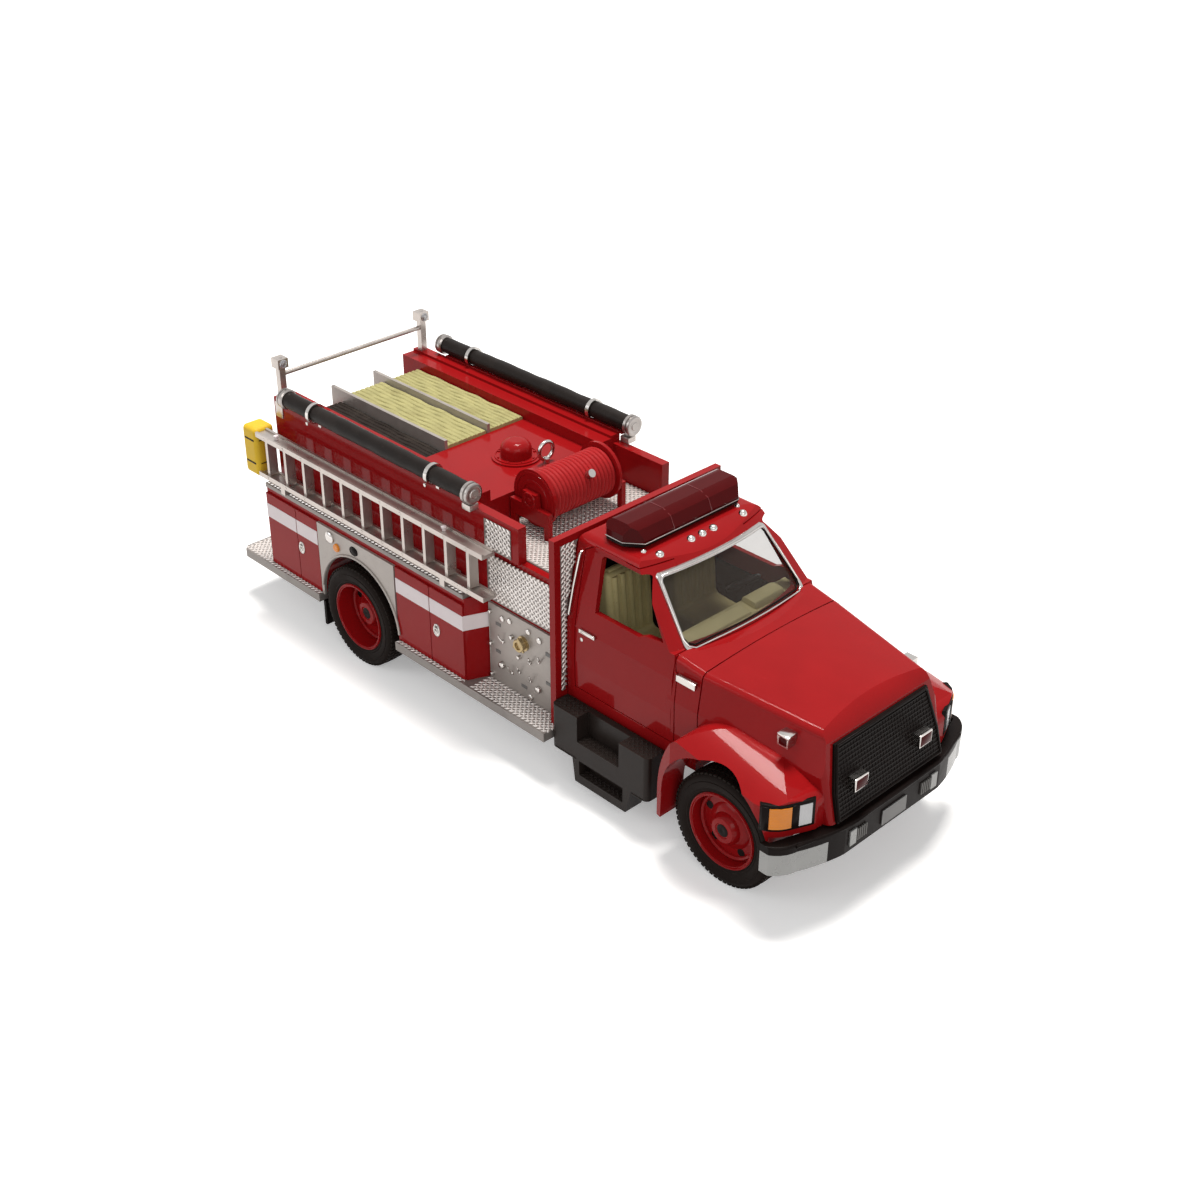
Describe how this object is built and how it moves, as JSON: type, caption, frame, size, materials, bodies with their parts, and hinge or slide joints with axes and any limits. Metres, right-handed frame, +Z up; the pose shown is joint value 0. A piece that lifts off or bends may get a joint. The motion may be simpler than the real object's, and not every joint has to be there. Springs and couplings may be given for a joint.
{
  "type": "model fire engine",
  "caption": "Die-cast model of a bonneted pumper fire engine with hose bed, side ladder, suction hoses, roof light bar, rolling wheels and a turning hose reel.",
  "frame": {"origin": "on the ground under the middle of the model's bounding box", "axes": "+X forward along the length, +Y to the left, +Z up"},
  "size_m": [0.1776, 0.0586, 0.0641],
  "materials": {
    "body_red": "deep gloss red enamel",
    "chassis_black": "moulded black, satin",
    "tread_silver": "satin silver with raised tread",
    "panel_silver": "smooth satin silver",
    "chrome": "bright plated",
    "post_silver": "satin grey silver",
    "ladder_silver": "satin silver",
    "hose_cream": "moulded cream hose, matt",
    "hose_black": "moulded black hose, matt",
    "pad_yellow": "satin yellow",
    "reel_hose_red": "moulded red hose, satin",
    "seat_cream": "cream moulding",
    "trim_dark": "dark moulding",
    "glass_clear": "clear glazing",
    "lens_red": "clear dark red lens",
    "lens_tail": "red lens",
    "lens_amber": "amber lens",
    "lamp_silver": "silvered lamp",
    "tyre_rubber": "black rubber, matt",
    "axle_steel": "plain steel",
    "plate_grey": "blank grey plate"
  },
  "bodies": {
    "model": {"chassis": "chassis_black", "running_boards": "tread_silver", "body_shell": "body_red", "compartment_doors": "body_red", "fender_panels": "panel_silver", "ledge_trim": "tread_silver", "pump_house": "body_red", "pump_panels": "panel_silver", "diamond_panels": "tread_silver", "partition": "body_red", "tank_top": "body_red", "lifting_ring": "chrome", "bed_dividers": "panel_silver", "hose_loads": "hose_cream", "dark_hose_load": "hose_black", "suction_hoses": "hose_black", "hose_caps": "chrome", "hose_straps": "chrome", "lamp_posts": "post_silver", "rear_panel": "tread_silver", "tail_lamps": "lens_tail", "ladder": "ladder_silver", "ladder_brackets": "ladder_silver", "ladder_pad": "pad_yellow", "reel_brackets": "body_red", "cab_shell": "body_red", "windscreen": "glass_clear", "screen_frame": "chrome", "cab_seats": "seat_cream", "dashboard": "seat_cream", "steering_wheel": "trim_dark", "cab_trim": "chrome", "light_bar_lens": "lens_red", "light_bar_base": "trim_dark", "roof_lamps": "chrome", "hood_shell": "body_red", "grille": "trim_dark", "grille_lamps": "chrome", "headlamps": "lamp_silver", "turn_lamps": "lens_amber", "fender_lamps": "chrome", "bumper": "chassis_black", "bumper_ends": "panel_silver", "number_plate": "plate_grey", "side_steps": "chassis_black", "mudflaps": "chassis_black"},
    "front_wheels": {"front_axle": "axle_steel", "front_rims": "body_red", "front_tyres": "tyre_rubber"},
    "rear_wheels": {"rear_axle": "axle_steel", "rear_rims": "body_red", "rear_tyres": "tyre_rubber"},
    "reel": {"reel_drum": "body_red", "reel_hose": "reel_hose_red", "reel_nozzle": "chrome"}
  },
  "joints": [
    {"name": "front_wheels_roll", "type": "hinge", "parent": "model", "child": "front_wheels", "pos_m": [0.0676, 0, 0.01225], "axis": [0, 1, 0], "continuous": true},
    {"name": "rear_wheels_roll", "type": "hinge", "parent": "model", "child": "rear_wheels", "pos_m": [-0.0422, 0, 0.01225], "axis": [0, 1, 0], "continuous": true},
    {"name": "reel_turn", "type": "hinge", "parent": "model", "child": "reel", "pos_m": [-0.0011, 0, 0.0519], "axis": [0, 1, 0], "continuous": true}
  ]
}
